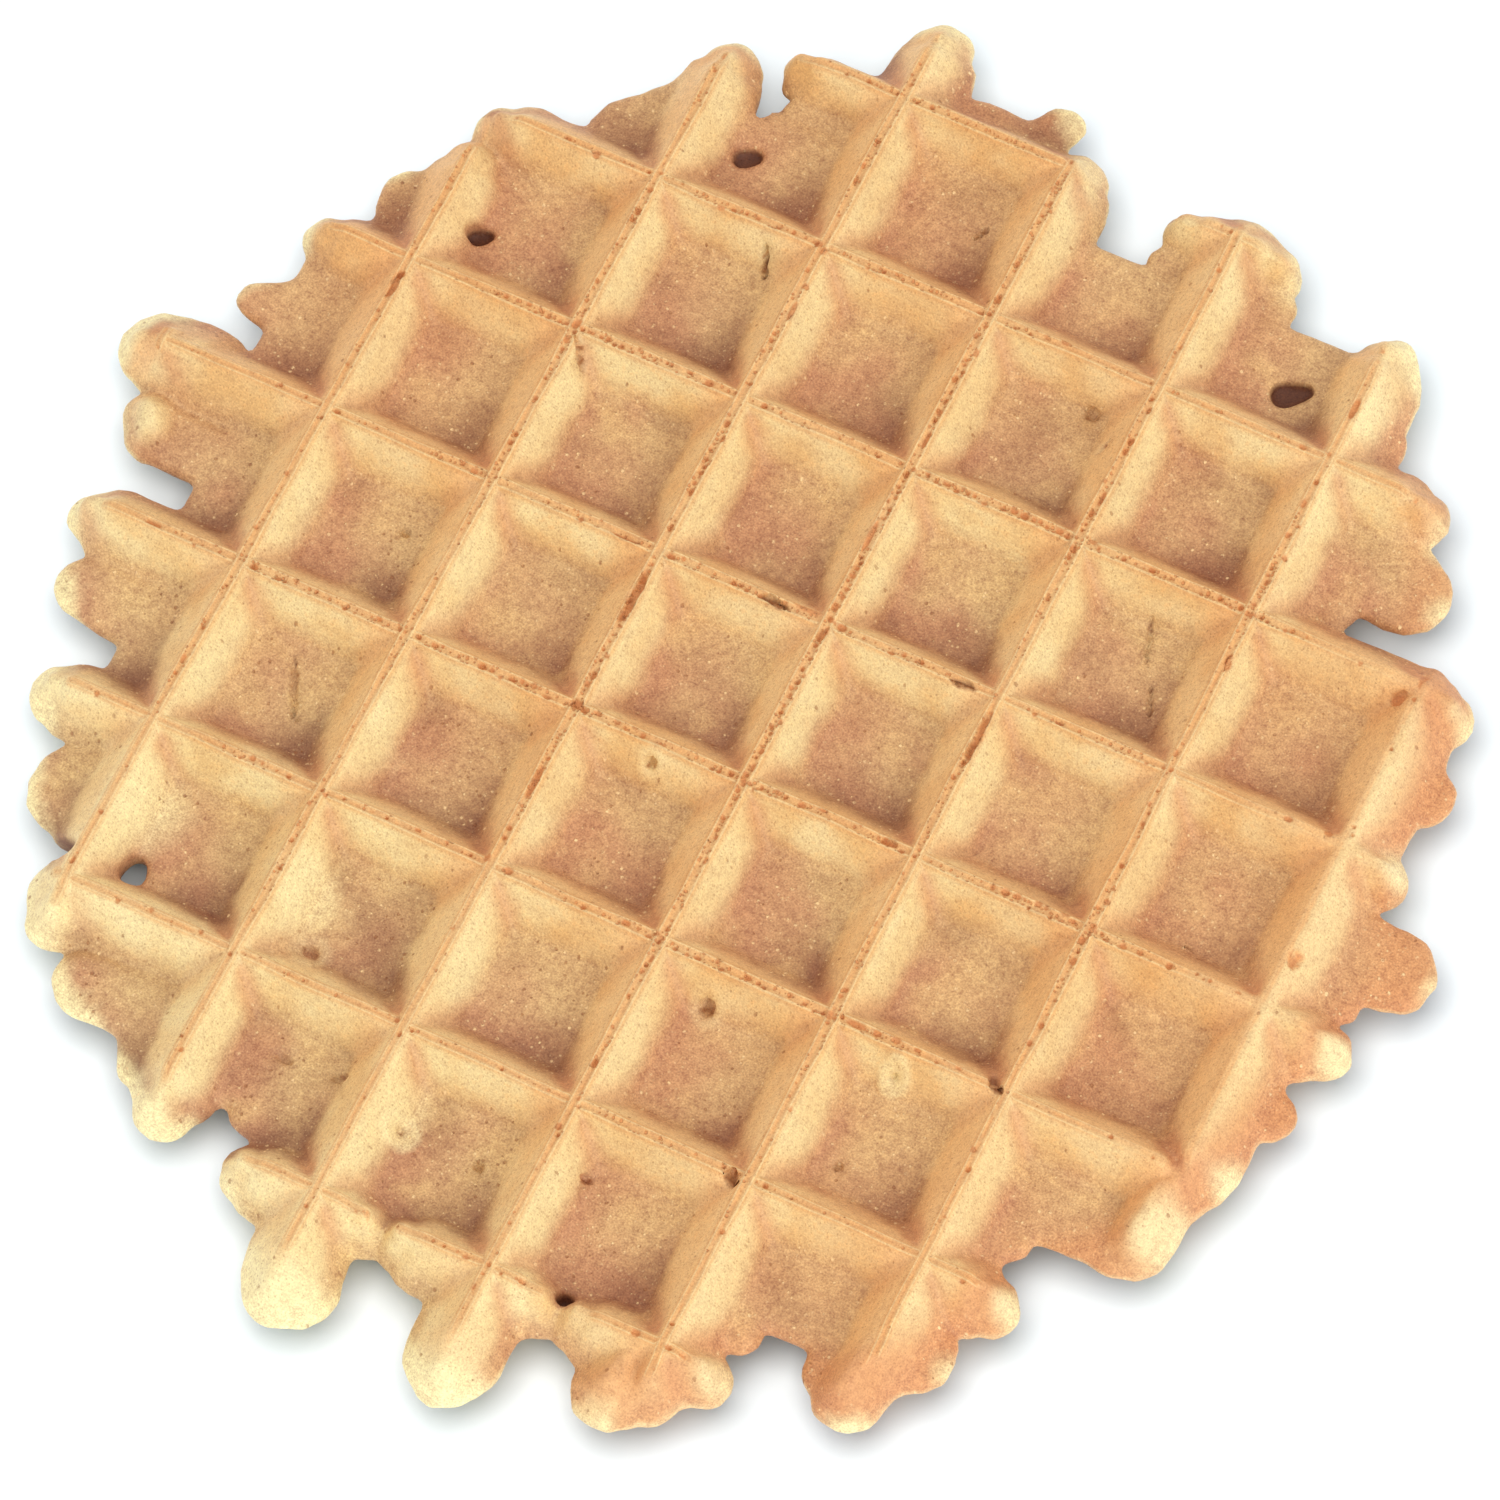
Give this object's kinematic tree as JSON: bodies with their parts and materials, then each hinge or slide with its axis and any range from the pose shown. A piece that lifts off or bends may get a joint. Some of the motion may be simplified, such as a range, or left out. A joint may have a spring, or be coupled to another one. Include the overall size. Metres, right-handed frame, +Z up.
{
  "type": "round waffle",
  "caption": "Round golden waffle with a square grid of ridges and pockets on each face and a ragged, lobed rim; it lies flat to be served or topped.",
  "frame": {"origin": "below the middle of the waffle's outline, on the surface it lies on", "axes": "+Z up through the pockets; X and Y along the two sets of ridges"},
  "size_m": [0.1608, 0.1674, 0.0132],
  "materials": {
    "waffle_crust": "baked crust: golden ridges, browner pocket floors, pale cream at the rim; matt, porous and finely grained"
  },
  "bodies": {
    "root": {"waffle": "waffle_crust"}
  },
  "joints": []
}
